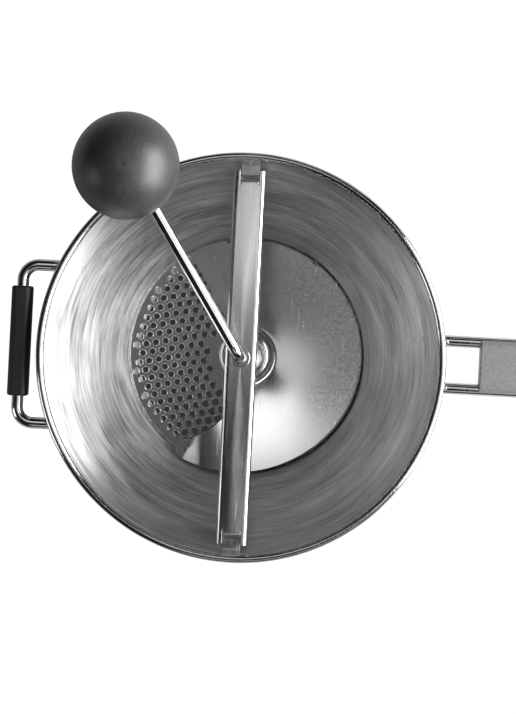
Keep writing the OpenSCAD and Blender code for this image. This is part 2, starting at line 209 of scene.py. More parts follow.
def rounded(corners, closed=True):
    """The path through (point, radius) corners, in the plane or in space, each corner an arc."""
    path = []
    for i, (corner, radius) in enumerate(corners):
        here = Vector(corner)
        if radius == 0 or (not closed and i in (0, len(corners) - 1)):
            path.append(here)
            continue
        before = (Vector(corners[i - 1][0]) - here).normalized()
        after = (Vector(corners[(i + 1) % len(corners)][0]) - here).normalized()
        half = before.angle(after) / 2
        middle = here + (before + after).normalized() * radius / math.sin(half)
        start = here + before * radius / math.tan(half) - middle
        end = here + after * radius / math.tan(half) - middle
        sweep = math.pi - 2 * half
        steps = max(3, round(math.degrees(sweep) / 9))
        for k in range(steps + 1):
            t = k / steps
            path.append(middle + (start * math.sin((1 - t) * sweep) + end * math.sin(t * sweep))
                        / math.sin(sweep))
    return path


def loft(name, rings, closed=True, capped=True):
    """A skin over rings of equally many points, joined end to end, capped or left open."""
    count = len(rings[0])
    points = [p for ring in rings for p in ring]
    faces = []
    for i in range(len(rings) if closed else len(rings) - 1):
        a, b = i * count, (i + 1) % len(rings) * count
        faces += [(a + k, a + (k + 1) % count, b + (k + 1) % count, b + k) for k in range(count)]
    if capped and not closed:
        faces += [tuple(range(count)), tuple(range(len(points) - count, len(points)))]
    return mesh_object(name, points, faces)


def lathe(name, outline, sides=96, centre=(0, 0)):
    """Turns a closed outline of (radius, height) points round an upright axis."""
    rings = []
    for i in range(sides):
        a = 2 * math.pi * i / sides
        rings.append([(centre[0] + r * math.cos(a), centre[1] + r * math.sin(a), z)
                      for r, z in outline])
    return smooth(loft(name, rings))


def applied(obj):
    """Turns an object and its modifiers into a plain mesh."""
    graph = bpy.context.evaluated_depsgraph_get()
    made = bpy.data.meshes.new_from_object(obj.evaluated_get(graph), depsgraph=graph)
    obj.modifiers.clear()
    obj.data = made
    return obj


def cut(obj, cutter, operation="DIFFERENCE"):
    """Cuts obj with another solid, which is used up."""
    tool = obj.modifiers.new("cut", "BOOLEAN")
    tool.operation = operation
    tool.object = cutter
    applied(obj)
    bpy.data.objects.remove(cutter)
    return obj


def block(name, low, high):
    """A cutting block between two corners in millimetres."""
    ring = [(low[0], low[1]), (high[0], low[1]), (high[0], high[1]), (low[0], high[1])]
    rings = [[(x, y, z) for x, y in ring] for z in (low[2], high[2])]
    return smooth(loft(name, rings, closed=False))


rim_r = box_mm("bowl")[1].x
bowl_h = box_mm("bowl")[1].z
wall = 0.8
bead_r = 2
collar_r = rim_r - 2 * bead_r
collar_z = bowl_h - 10
neck_r = 64.6
neck_h = 10.5
outlet_r = 58
cone_k = (collar_r - neck_r) / (collar_z - neck_h)
cone_a = math.atan(cone_k)
miter = wall * math.tan(cone_a / 2)
bead = [(rim_r - bead_r + bead_r * math.cos(math.radians(a)),
         bowl_h - bead_r + bead_r * math.sin(math.radians(a))) for a in range(-120, 181, 12)]
bowl_outline = rounded([((outlet_r, 0), 0.2), ((neck_r + wall, 0), 1.6),
                        ((neck_r + wall, neck_h - miter), 2),
                        ((collar_r + wall, collar_z - miter), 5),
                        ((collar_r + wall, bead[0][1]), 0)]
                       + [(p, 0) for p in bead]
                       + [((collar_r, collar_z), 4.2), ((neck_r, neck_h), 2.8),
                          ((neck_r, wall), 0.8), ((outlet_r, wall), 0.2)])
bowl = lathe("spun_bowl", bowl_outline, sides=384)
tongue_w = 9
tongue_top = box_mm("crossbar")[1].z - 2.9
slot_half = tongue_w / 2 + 1
slot_h = 2.2
for side in (-1, 1):
    through = sorted((side * 99, side * 103.6))
    cut(bowl, block("slot", (-slot_half, through[0], tongue_top - slot_h),
                    (slot_half, through[1], tongue_top)))
smooth(bowl)


def effect(name, inputs, outputs):
    """A shader node group with a Vector input, float inputs with defaults and float outputs."""
    tree = bpy.data.node_groups.new(name, "ShaderNodeTree")
    tree.interface.new_socket("Vector", in_out="INPUT", socket_type="NodeSocketVector")
    for label, value in inputs.items():
        socket = tree.interface.new_socket(label, in_out="INPUT", socket_type="NodeSocketFloat")
        socket.default_value = value
    for label in outputs:
        tree.interface.new_socket(label, in_out="OUTPUT", socket_type="NodeSocketFloat")
    return tree, put(tree, "NodeGroupInput").outputs, put(tree, "NodeGroupOutput").inputs


def ramp(tree, value, low, high, to_low=0.0, to_high=1.0):
    """Maps a value from one range to another, clamped."""
    return put(tree, "ShaderNodeMapRange", {
        "Value": value, "From Min": low, "From Max": high,
        "To Min": to_low, "To Max": to_high}).outputs[0]


def maths(tree, operation, first, second):
    """One step of arithmetic on sockets or constants."""
    return put(tree, "ShaderNodeMath", {0: first, 1: second}, operation=operation).outputs[0]


def vectors(tree, operation, first, second=(0, 0, 0)):
    """One step of arithmetic on vectors."""
    return put(tree, "ShaderNodeVectorMath", {0: first, 1: second}, operation=operation).outputs[0]


def coordinate(tree, vector, axis):
    """One coordinate of a vector."""
    return put(tree, "ShaderNodeSeparateXYZ", {0: vector}).outputs[axis]


def noise(tree, vector, scale, detail, **more):
    """Soft noise of a given scale per metre."""
    return put(tree, "ShaderNodeTexNoise", {
        "Vector": vector, "Scale": scale, "Detail": detail, **more}).outputs["Fac"]


def turned_grain():
    """Fine lines that run round the Z axis, as a lathe's brush leaves them, and broader bands."""
    tree, given, out = effect("turned_grain", {"Lines": 1100, "Reach": 5}, ["Line", "Band"])
    flat = vectors(tree, "MULTIPLY", given["Vector"], (1, 1, 0))
    radius = put(tree, "ShaderNodeVectorMath", {0: flat}, operation="LENGTH").outputs["Value"]
    spoke = vectors(tree, "NORMALIZE", flat)
    along = maths(tree, "ADD", radius, coordinate(tree, given["Vector"], "Z"))
    for label, share in (("Line", 1.0), ("Band", 0.12)):
        level = maths(tree, "MULTIPLY", maths(tree, "MULTIPLY", along, given["Lines"]), share)
        rise = put(tree, "ShaderNodeCombineXYZ", {"Z": level}).outputs[0]
        reach = put(tree, "ShaderNodeVectorMath", {0: spoke, "Scale": given["Reach"]},
                    operation="SCALE").outputs[0]
        streak = noise(tree, vectors(tree, "ADD", reach, rise), 1.0, 4.0, Roughness=0.62)
        tree.links.new(streak, out[label])
    return tree


def hairlines():
    """Thin random scratches in three directions."""
    tree, given, out = effect("hairlines", {"Scale": 60, "Fewer": 0.66}, ["Scratch"])
    total = 0.0
    for turn in (0.4, 1.6, 2.7):
        turned = put(tree, "ShaderNodeMapping", {
            "Vector": given["Vector"], "Rotation": (0, 0, turn), "Scale": (1, 0.035, 0.3)})
        drawn = noise(tree, turned.outputs[0], maths(tree, "MULTIPLY", given["Scale"], 22.0), 1.0)
        above = maths(tree, "SUBTRACT", drawn, given["Fewer"])
        total = maths(tree, "ADD", ramp(tree, above, 0.0, 0.05), total)
    tree.links.new(maths(tree, "MINIMUM", total, 1.0), out["Scratch"])
    return tree


def clouds():
    """Slow uneven patches, as left by wiping and by fingers."""
    tree, given, out = effect("clouds", {"Scale": 30}, ["Patch"])
    cloud = noise(tree, given["Vector"], given["Scale"], 5.0, Distortion=0.6)
    tree.links.new(ramp(tree, cloud, 0.3, 0.7), out["Patch"])
    return tree


turned_grain_group = turned_grain()
hairlines_group = hairlines()
clouds_group = clouds()


def material(name):
    """A material with an empty Principled shader; gives back its tree, shader and coordinates."""
    made = bpy.data.materials.new(name)
    tree = cleared(made)
    shader = put(tree, "ShaderNodeBsdfPrincipled")
    put(tree, "ShaderNodeOutputMaterial", {"Surface": shader.outputs[0]})
    return made, tree, shader, put(tree, "ShaderNodeTexCoord").outputs["Object"]


def place(tree, group, vector, **values):
    """Puts an effect group into a material with its own values, given by input."""
    node = put(tree, "ShaderNodeGroup", node_tree=group)
    tree.links.new(vector, node.inputs["Vector"])
    for label, value in values.items():
        node.inputs[label].default_value = value
    return node.outputs


def shade(tree, shader, colours, by, roughness, height, depth):
    """Feeds a shader: two greys mixed by one value, a roughness and a bump of that depth in mm."""
    mix = put(tree, "ShaderNodeMix", {0: by, 6: (*colours[0], 1), 7: (*colours[1], 1)},
              data_type="RGBA")
    bump = put(tree, "ShaderNodeBump", {"Height": height, "Distance": depth * mm})
    tree.links.new(mix.outputs[2], shader.inputs["Base Color"])
    tree.links.new(roughness, shader.inputs["Roughness"])
    tree.links.new(bump.outputs[0], shader.inputs["Normal"])


def brushed_steel():
    """The bowl's steel: brushed round and round, satin inside and out, bright on the curled rim."""
    made, tree, shader, where = material("brushed_bowl")
    grain = place(tree, turned_grain_group, where, Lines=700, Reach=2.6)
    patch = place(tree, clouds_group, where, Scale=16)["Patch"]
    scratch = place(tree, hairlines_group, where, Scale=30, Fewer=0.7)["Scratch"]
    height = coordinate(tree, where, "Z")
    bright_rim = ramp(tree, height, (bowl_h - 3.4) * mm, (bowl_h - 2.6) * mm)
    both = maths(tree, "ADD", maths(tree, "MULTIPLY", grain["Line"], 0.55),
                 maths(tree, "MULTIPLY", grain["Band"], 0.45))
    mixed = ramp(tree, both, 0.38, 0.62)
    satin = maths(tree, "ADD", ramp(tree, mixed, 0.0, 1.0, 0.34, 0.5),
                  maths(tree, "MULTIPLY", patch, 0.05))
    rough = put(tree, "ShaderNodeMix", {0: bright_rim, 2: satin, 3: 0.13}).outputs[0]
    relief = maths(tree, "SUBTRACT", grain["Line"], maths(tree, "MULTIPLY", scratch, 0.5))
    shade(tree, shader, ((0.36, 0.36, 0.365), (0.70, 0.70, 0.705)), mixed, rough, relief, 0.03)
    shader.inputs["Metallic"].default_value = 1
    shader.inputs["Anisotropic"].default_value = 0.88
    shader.inputs["Anisotropic Rotation"].default_value = 0.25
    tangent = put(tree, "ShaderNodeTangent", direction_type="RADIAL", axis="Z")
    tree.links.new(tangent.outputs[0], shader.inputs["Tangent"])
    return made


bowl_steel = brushed_steel()


def finish(obj, metal, body, slot, *nodes):
    """Gives a piece its material, hangs it under its body and hides the frame nodes it stands for.
    """
    obj.data.materials.clear()
    obj.data.materials.append(metal)
    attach(obj, body)
    if nodes:
        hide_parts(*nodes)
    return obj


finish(bowl, bowl_steel, "mill", "brushed_bowl", "bowl")


# Weld marks. Eight shallow rings pressed into the cone by the spot welder's electrodes, two for
# each leg of the two handle wires, which are welded to the outside.
def tree_of(name, **inputs):
    """A Geometry Nodes tree with a Geometry in and out and named float inputs."""
    tree = bpy.data.node_groups.new(name, "GeometryNodeTree")
    tree.interface.new_socket("Geometry", in_out="INPUT", socket_type="NodeSocketGeometry")
    for label, value in inputs.items():
        tree.interface.new_socket(label, in_out="INPUT", socket_type="NodeSocketFloat")
    tree.interface.new_socket("Geometry", in_out="OUTPUT", socket_type="NodeSocketGeometry")
    return tree, put(tree, "NodeGroupInput").outputs


def grow(obj, tree, last, metal, **values):
    """Ends a tree, runs it on obj with these inputs and leaves a plain mesh."""
    real = put(tree, "GeometryNodeRealizeInstances", {0: last}).outputs[0]
    made = put(tree, "GeometryNodeSetMaterial", {0: real, "Material": metal}).outputs[0]
    put(tree, "NodeGroupOutput", {0: made})
    nodes = obj.modifiers.new(tree.name, "NODES")
    nodes.node_group = tree
    sockets = {s.name: s.identifier for s in tree.interface.items_tree if s.in_out == "INPUT"}
    for label, value in values.items():
        nodes[sockets[label]] = float(value)
    return applied(obj)


def circle(tree, sides, radius):
    """A round curve about the origin."""
    return put(tree, "GeometryNodeCurvePrimitiveCircle", {
        "Resolution": sides, "Radius": radius}).outputs[0]


bail_half = 41
bail_shift = 1.5
rod_half = 12.2
handle_shift = 2
mark_heights = (66, 57.7)
mark_r = 1.5


def cone_point(y, z, side):
    """A point on the inside of the cone in the plane of a wire's leg."""
    r = neck_r + (z - neck_h) * cone_k
    return (side * math.sqrt(r * r - y * y), y, z)


marks = mesh_object("weld_marks", [
    cone_point(shift + turn * half, z, side)
    for side, half, shift in ((1, rod_half, handle_shift), (-1, bail_half, bail_shift))
    for turn in (-1, 1) for z in mark_heights], [])
tree, given = tree_of("weld_marks", Radius=mark_r, Lip=0.3)
tube = put(tree, "GeometryNodeCurveToMesh", {
    0: circle(tree, 20, given["Radius"]), 1: circle(tree, 6, given["Lip"])})
pressed = put(tree, "GeometryNodeTransform", {0: tube.outputs[0], "Scale": (1, 1, 0.3)})
soft = put(tree, "GeometryNodeSetShadeSmooth", {0: pressed.outputs[0]})
spot = put(tree, "GeometryNodeInputPosition").outputs[0]
spoke = vectors(tree, "NORMALIZE", vectors(tree, "MULTIPLY", spot, (1, 1, 0)))
inward = vectors(tree, "MULTIPLY", spoke, (-math.cos(cone_a), -math.cos(cone_a), 1))
normal = vectors(tree, "ADD", inward, (0, 0, math.sin(cone_a)))
lean = put(tree, "FunctionNodeAlignRotationToVector", {"Vector": normal}, axis="Z")
copies = put(tree, "GeometryNodeInstanceOnPoints", {
    "Points": given["Geometry"], "Instance": soft.outputs[0], "Rotation": lean.outputs[0]})
grow(marks, tree, copies.outputs[0], bowl_steel, Radius=mark_r * mm, Lip=0.3 * mm)
finish(marks, bowl_steel, "mill", "brushed_bowl")


# Perforated disc. A round of bright sheet that lies on the neck's lip. Each hole is drawn upwards
# into a small collar, the middle is left blank and the edge is turned up.
disc_low, disc_high = box_mm("perforated_disc")
sheet = 0.8
disc_top = disc_low.z + sheet
disc_edge_r = disc_high.x
disc_flat_r = 63.1
hole_pitch = 5.36
foot_r = 2.2
blank_r = 20.6
field_r = disc_flat_r - 2.15
hole_turn = math.radians(12)
hole_shift = (3.3, 1.25)
lip_sides = 16
plate_sides = 192
middle_sides = 48
lip_path = [(foot_r, 0), (2.08, 0.1), (2.02, 0.32), (1.98, 0.5), (1.86, 0.58), (1.7, 0.52),
            (1.62, 0.36), (1.53, 0.0), (1.5, -0.5), (1.7, -0.8)]


def polished(name, greys, rough, grain=None, scratches=(40, 0.68), depth=0.004, patches=25,
             anisotropic=0.0, bow=0.0):
    """Bright steel: turned or drawn grain, hairline scratches, wiped patches and a bow along Y."""
    made, tree, shader, where = material(name)
    patch = place(tree, clouds_group, where, Scale=patches)["Patch"]
    scratch = place(tree, hairlines_group, where, Scale=scratches[0], Fewer=scratches[1])["Scratch"]
    if grain is None:
        line = noise(tree, where, 900.0, 3.0)
    elif grain == "turned":
        line = place(tree, turned_grain_group, where, Lines=1500, Reach=4)["Line"]
    else:
        drawn = put(tree, "ShaderNodeMapping", {"Vector": where, "Scale": grain})
        line = noise(tree, drawn.outputs[0], 1.0, 4.0)
    spread = ramp(tree, line, 0.3, 0.7, rough[0], rough[1])
    worn = maths(tree, "ADD", spread, maths(tree, "MULTIPLY", patch, 0.35 * (rough[1] - rough[0])))
    level = maths(tree, "ADD", worn, maths(tree, "MULTIPLY", scratch, 0.12))
    relief = maths(tree, "SUBTRACT", maths(tree, "MULTIPLY", line, 0.6), scratch)
    if bow:
        along = coordinate(tree, where, "Y")
        sag = maths(tree, "MULTIPLY", maths(tree, "MULTIPLY", along, along), -bow / (depth * mm))
        relief = maths(tree, "ADD", relief, sag)
    shade(tree, shader, greys, line, level, relief, depth)
    shader.inputs["Metallic"].default_value = 1
    shader.inputs["Anisotropic"].default_value = anisotropic
    if anisotropic:
        tangent = put(tree, "ShaderNodeTangent", direction_type="RADIAL", axis="Z")
        tree.links.new(tangent.outputs[0], shader.inputs["Tangent"])
    return made


disc_steel = polished("disc_steel", ((0.46, 0.46, 0.465), (0.62, 0.62, 0.625)), (0.12, 0.2),
                      scratches=(40, 0.76), depth=0.0015)


def turned_band(name, outline, sides):
    """Turns an open outline of (radius, height) points into a band."""
    turn = [2 * math.pi * k / sides for k in range(sides)]
    return loft(name, [[(r * math.cos(a), r * math.sin(a), z) for a in turn] for r, z in outline],
                closed=False, capped=False)


lip_mesh = turned_band("hole_lip", lip_path, lip_sides)
middle_r = 4.5


def joined(tree, *parts):
    """One geometry made of several."""
    join = put(tree, "GeometryNodeJoinGeometry")
    for part in parts:
        tree.links.new(part, join.inputs[0])
    return join.outputs[0]


def lifted(tree, geometry, height):
    """A geometry raised by a height."""
    rise = put(tree, "ShaderNodeCombineXYZ", {"Z": height}).outputs[0]
    return put(tree, "GeometryNodeTransform", {0: geometry, "Translation": rise}).outputs[0]


disc = mesh_object("perforated_sheet", [(0, 0, 0)], [])
tree, given = tree_of("perforations", Pitch=0, Turn=0, Aside=0, Along=0, Blank=0, Field=0, Flat=0,
                      Sheet=0, Bore=0, Foot=0, Top=0, Middle=0)
reach = 2 * math.ceil(disc_flat_r / hole_pitch) + 8
span = maths(tree, "MULTIPLY", given["Pitch"], float(reach))
lattice = put(tree, "GeometryNodeMeshGrid", {
    "Size X": span, "Size Y": span, "Vertices X": reach + 1, "Vertices Y": reach + 1}).outputs[0]
at = put(tree, "ShaderNodeSeparateXYZ", {0: put(tree, "GeometryNodeInputPosition").outputs[0]})
lean_x = maths(tree, "MULTIPLY", at.outputs["Y"], 0.5)
row_y = maths(tree, "MULTIPLY", at.outputs["Y"], math.sin(math.radians(60)))
sheared = put(tree, "ShaderNodeCombineXYZ", {
    "X": maths(tree, "ADD", at.outputs["X"], lean_x), "Y": row_y})
turned = put(tree, "ShaderNodeVectorRotate", {
    "Vector": sheared.outputs[0], "Angle": given["Turn"]}, rotation_type="Z_AXIS")
shift = put(tree, "ShaderNodeCombineXYZ", {"X": given["Along"], "Y": given["Aside"]}).outputs[0]
hexagonal = put(tree, "GeometryNodeSetPosition", {
    0: lattice, "Position": turned.outputs[0], "Offset": shift})
far = put(tree, "ShaderNodeVectorMath", {
    0: put(tree, "GeometryNodeInputPosition").outputs[0]}, operation="LENGTH").outputs["Value"]
outside = maths(tree, "MAXIMUM", maths(tree, "LESS_THAN", far, given["Blank"]),
                maths(tree, "GREATER_THAN", far, given["Field"]))
holes = put(tree, "GeometryNodeDeleteGeometry", {0: hexagonal.outputs[0], "Selection": outside})
spots = put(tree, "GeometryNodeMeshToPoints", {0: holes.outputs[0]}).outputs[0]
plates = []
for height, radius in ((given["Top"], given["Foot"]),
                       (maths(tree, "SUBTRACT", given["Top"], given["Sheet"]), given["Bore"])):
    round_edge = circle(tree, plate_sides, given["Flat"])
    middle_edge = circle(tree, middle_sides, given["Middle"])
    one_hole = circle(tree, lip_sides, radius)
    all_holes = put(tree, "GeometryNodeInstanceOnPoints", {"Points": spots, "Instance": one_hole})
    edges = joined(tree, round_edge, middle_edge, all_holes.outputs[0])
    loose = put(tree, "GeometryNodeRealizeInstances", {0: edges}).outputs[0]
    plate = put(tree, "GeometryNodeFillCurve", {0: loose}).outputs[0]
    flat = put(tree, "GeometryNodeSetShadeSmooth", {0: plate, "Shade Smooth": False}).outputs[0]
    plates.append(lifted(tree, flat, height))
lip_info = put(tree, "GeometryNodeObjectInfo", {"Object": lip_mesh}).outputs["Geometry"]
lip_soft = put(tree, "GeometryNodeSetShadeSmooth", {0: lip_info}).outputs[0]
lips = put(tree, "GeometryNodeInstanceOnPoints", {"Points": spots, "Instance": lip_soft})
whole = joined(tree, *plates, lifted(tree, lips.outputs[0], given["Top"]))
grow(disc, tree, whole, disc_steel, Pitch=hole_pitch * mm, Turn=hole_turn,
     Along=hole_shift[0] * mm, Aside=hole_shift[1] * mm, Blank=blank_r * mm, Field=field_r * mm,
     Flat=disc_flat_r * mm, Sheet=sheet * mm, Bore=lip_path[-1][0] * mm, Foot=foot_r * mm,
     Top=disc_top * mm, Middle=middle_r * mm)
bpy.data.objects.remove(lip_mesh)

edge_top = disc_high.z
turned_up = turned_band("turned_up_edge", rounded([
    ((disc_flat_r, disc_top), 0), ((disc_flat_r + 0.35, disc_top), 0.5),
    ((disc_edge_r - 0.5, edge_top), 0.25), ((disc_edge_r, edge_top), 0.25),
    ((disc_edge_r, disc_low.z), 0.8), ((disc_flat_r, disc_low.z), 0)], closed=False), plate_sides)
middle_wall = turned_band("middle_hole", [(middle_r, disc_top), (middle_r, disc_low.z)],
                          middle_sides)
weld([disc, turned_up, middle_wall], 0.004)
disc.data.set_sharp_from_angle(angle=math.radians(40))
finish(disc, disc_steel, "mill", "disc_steel", "perforated_disc")


# Disc eyelet. A rolled steel eyelet clenched in the middle of the disc. The foot of the shaft
# turns in it.
bright_steel = polished("bright_steel", ((0.46, 0.46, 0.465), (0.62, 0.62, 0.625)), (0.12, 0.24),
                        grain="turned")
eyelet_low, eyelet_high = box_mm("disc_eyelet")
shaft_r = 3
running = 0.06
eyelet = lathe("rolled_eyelet", rounded([
    ((shaft_r + running, eyelet_low.z), 0.3), ((6.5, eyelet_low.z), 0.25),
    ((6.5, disc_low.z), 0.2), ((middle_r, disc_low.z), 0), ((middle_r, disc_top), 0),
    ((6.4, disc_top), 0.2), ((6.1, disc_top + 0.7), 0.3), ((middle_r, disc_top + 0.7), 0.2),
    ((middle_r, eyelet_high.z), 0.5), ((shaft_r + running, eyelet_high.z), 0.5)]), sides=64)
finish(eyelet, bright_steel, "mill", "bright_steel", "disc_eyelet")


# Crossbar. A channel of bright sheet, open downwards and bowed a little along its length. At each
# end a tongue is cut free from the flat top, set down in a step and pushed out through a slot.
bar_low, bar_high = box_mm("crossbar")
bar_z = bar_high.z
bar_w = bar_high.x - bar_low.x
bar_t = 1
bar_half = 96.5
tongue_start = 91
tongue_end = bar_high.y
slit_half = tongue_w / 2 + 0.5


def prism(name, outline, put_point, low, high):
    """A closed outline run from one station to another; put_point places (u, v, station)."""
    return smooth(loft(name, [[put_point(u, v, s) for u, v in outline] for s in (low, high)],
                       closed=False))


half_w = bar_w / 2
channel = rounded([
    ((-half_w, bar_low.z), 0.15), ((-half_w, bar_z), 2.4), ((half_w, bar_z), 2.4),
    ((half_w, bar_low.z), 0.15), ((half_w - bar_t, bar_low.z), 0.15),
    ((half_w - bar_t, bar_z - bar_t), 1.4), ((-half_w + bar_t, bar_z - bar_t), 1.4),
    ((-half_w + bar_t, bar_low.z), 0.15)])
crossbar = prism("crossbar_channel", channel, lambda u, v, s: (u, s, v), -bar_half, bar_half)
past_end = bar_half + 1
for side in (-1, 1):
    ends = sorted((side * (tongue_start - 2), side * (bar_half + 5)))
    cut(crossbar, block("slit", (-slit_half, ends[0], bar_z - 1.5),
                        (slit_half, ends[1], bar_z + 1)))
    corner = [(side * (bar_half - 2.9), bar_low.z), (side * past_end, bar_low.z - 1),
              (side * past_end, bar_low.z + 3.8)]
    cut(crossbar, prism("corner", corner, lambda u, v, s: (s, u, v), -half_w - 1, half_w + 1))
    step = [((tongue_start - 4, bar_z), 0), ((tongue_start + 0.2, bar_z), 1.8),
            ((tongue_start + 3, tongue_top), 0.9), ((tongue_end, tongue_top), 0.15),
            ((tongue_end, tongue_top - bar_t), 0.15),
            ((tongue_start + 2.6, tongue_top - bar_t), 1.9),
            ((tongue_start - 0.2, bar_z - bar_t), 0.8), ((tongue_start - 4, bar_z - bar_t), 0)]
    tongue = prism("tongue", [(side * p.x, p.y) for p in rounded(step)],
                   lambda u, v, s: (s, u, v), -tongue_w / 2, tongue_w / 2)
    cut(crossbar, tongue, "UNION")
bore_r = 4.2
axis_r = 0.0001


def ring_section(inner, outer, low, high, *rounding):
    """Outline of a plain ring; its four radii go from the inner edge below, outwards."""
    corners = ((inner, low), (outer, low), (outer, high), (inner, high))
    return rounded(list(zip(corners, rounding or (0, 0, 0, 0))))


cut(crossbar, lathe("bore", ring_section(axis_r, bore_r, bar_z - 3, bar_z + 2), sides=64))


def broken_edges(obj, width, segments=2, angle=38):
    """Rounds every real edge of a finished solid, and keeps the flats flat."""
    smooth(obj, crease=angle)
    bevel = obj.modifiers.new("edges", "BEVEL")
    bevel.width = width * mm
    bevel.segments = segments
    bevel.limit_method = "ANGLE"
    bevel.angle_limit = math.radians(angle)
    bevel.harden_normals = True
    return applied(obj)


broken_edges(crossbar, 0.16)
bar_steel = polished("bar_steel", ((0.54, 0.54, 0.545), (0.72, 0.72, 0.725)), (0.18, 0.26),
                     grain=(3000, 60, 3000), scratches=(50, 0.72), depth=0.004, anisotropic=0.85,
                     bow=0.9)
finish(crossbar, bar_steel, "mill", "bar_steel", "crossbar")


# Bar bush. A flanged steel bush riveted into the crossbar from below. The shaft turns in it and
# the spring pushes up against its flange.
bush_low, bush_high = box_mm("bar_bush")
bush = lathe("bar_bush_riveted", rounded([
    ((shaft_r + running, bush_low.z), 0.3), ((bush_high.x, bush_low.z), 0.3),
    ((bush_high.x, bar_z - bar_t), 0.2), ((bore_r, bar_z - bar_t), 0),
    ((bore_r, bar_z), 0), ((4.8, bar_z), 0), ((4.55, bush_high.z), 0.25),
    ((shaft_r + running, bush_high.z), 0.2)]), sides=64)
finish(bush, bright_steel, "mill", "bright_steel", "bar_bush")


# Spring seat. A cup washer that carries the standing spring on the turning hub.
seat_low, seat_high = box_mm("spring_seat")
seat_t = 1.2
seat = lathe("spring_cup", rounded([
    ((shaft_r + running, seat_low.z), 0.2), ((seat_high.x, seat_low.z), 1.1),
    ((seat_high.x, seat_high.z), 0.3), ((seat_high.x - 0.8, seat_high.z), 0.3),
    ((seat_high.x - 0.8, seat_low.z + seat_t), 0.5),
    ((shaft_r + running, seat_low.z + seat_t), 0.2)]), sides=96)
finish(seat, bright_steel, "seat", "bright_steel", "spring_seat")


# Spring. A conical spring of drawn steel wire, wide at the seat and narrow at the bush, with
# both ends closed.
spring_low, spring_high = box_mm("spring")
coil_wire = 0.9
coil_turns = 7
coil_wide = 8.8
coil_narrow = 5.4
spring_steel = polished("spring_steel", ((0.36, 0.36, 0.365), (0.52, 0.52, 0.525)), (0.2, 0.34),
                        grain=(300, 300, 2600))
spring = mesh_object("conical_spring", [(0, 0, 0)], [])
tree, given = tree_of("coil", Wide=0, Narrow=0, Foot=0, Head=0, Wire=0, Turns=0)
spiral = put(tree, "GeometryNodeCurveSpiral", {
    "Resolution": 40, "Rotations": given["Turns"], "Start Radius": given["Wide"],
    "End Radius": given["Narrow"], "Height": 1.0})
at = put(tree, "ShaderNodeSeparateXYZ", {0: put(tree, "GeometryNodeInputPosition").outputs[0]})
closed_ends = put(tree, "ShaderNodeFloatCurve", {"Value": at.outputs["Z"]})
curve = closed_ends.mapping.curves[0]
curve.points[0].location = (0, 0)
curve.points[1].location = (1, 1)
for u, rise_share in ((0.09, 0.025), (0.17, 0.1), (0.83, 0.9), (0.91, 0.975)):
    curve.points.new(u, rise_share)
closed_ends.mapping.update()
climb = maths(tree, "MULTIPLY", closed_ends.outputs[0],
              maths(tree, "SUBTRACT", given["Head"], given["Foot"]))
height = maths(tree, "ADD", climb, given["Foot"])
along = put(tree, "ShaderNodeCombineXYZ", {
    "X": at.outputs["X"], "Y": at.outputs["Y"], "Z": height}).outputs[0]
line = put(tree, "GeometryNodeSetPosition", {0: spiral.outputs[0], "Position": along}).outputs[0]
wire = put(tree, "GeometryNodeCurveToMesh", {
    0: line, 1: circle(tree, 12, given["Wire"]), "Fill Caps": True}).outputs[0]
grow(spring, tree, wire, spring_steel, Wide=coil_wide * mm, Narrow=coil_narrow * mm,
     Foot=(spring_low.z + coil_wire + 0.05) * mm, Head=(spring_high.z - coil_wire - 0.05) * mm,
     Wire=coil_wire * mm, Turns=coil_turns)
smooth(spring, crease=60)
finish(spring, spring_steel, "mill", "spring_steel", "spring")
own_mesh(spring)


# Crank rod. One bright 6 mm rod, bent cold: the shaft, the sloping arm and the spindle that
# carries the ball.
def frames_along(path):
    """Directions along a path and, for each point, a side that turns as little as it can."""
    count = len(path)
    ahead = [(path[min(i + 1, count - 1)] - path[max(i - 1, 0)]).normalized() for i in range(count)]
    side = ahead[0].orthogonal().normalized()
    sides = []
    for i in range(count):
        if i:
            side = ahead[i - 1].rotation_difference(ahead[i]) @ side
        side = (side - ahead[i] * side.dot(ahead[i])).normalized()
        sides.append(side)
    return ahead, sides


def rod(name, corners, radius, sides=28, chamfer=0.6):
    """A round rod along corners with bend radii, its ends chamfered."""
    path = rounded([(Vector(p), r) for p, r in corners], closed=False)
    dense = []
    for a, b in zip(path, path[1:]):
        parts = max(1, round((b - a).length / 12))
        dense += [a.lerp(b, k / parts) for k in range(parts)]
    dense.append(path[-1])
    first, last = dense[1] - dense[0], dense[-1] - dense[-2]
    dense.insert(1, dense[0] + first.normalized() * chamfer)
    dense.insert(-1, dense[-1] - last.normalized() * chamfer)
    ahead, side = frames_along(dense)
    rings = []
    for i, point in enumerate(dense):
        r = radius - chamfer if i in (0, len(dense) - 1) else radius
        over = ahead[i].cross(side[i])
        rings.append([point + r * (math.cos(t) * side[i] + math.sin(t) * over)
                      for t in (2 * math.pi * k / sides for k in range(sides))])
    return smooth(loft(name, rings, closed=False), crease=30)


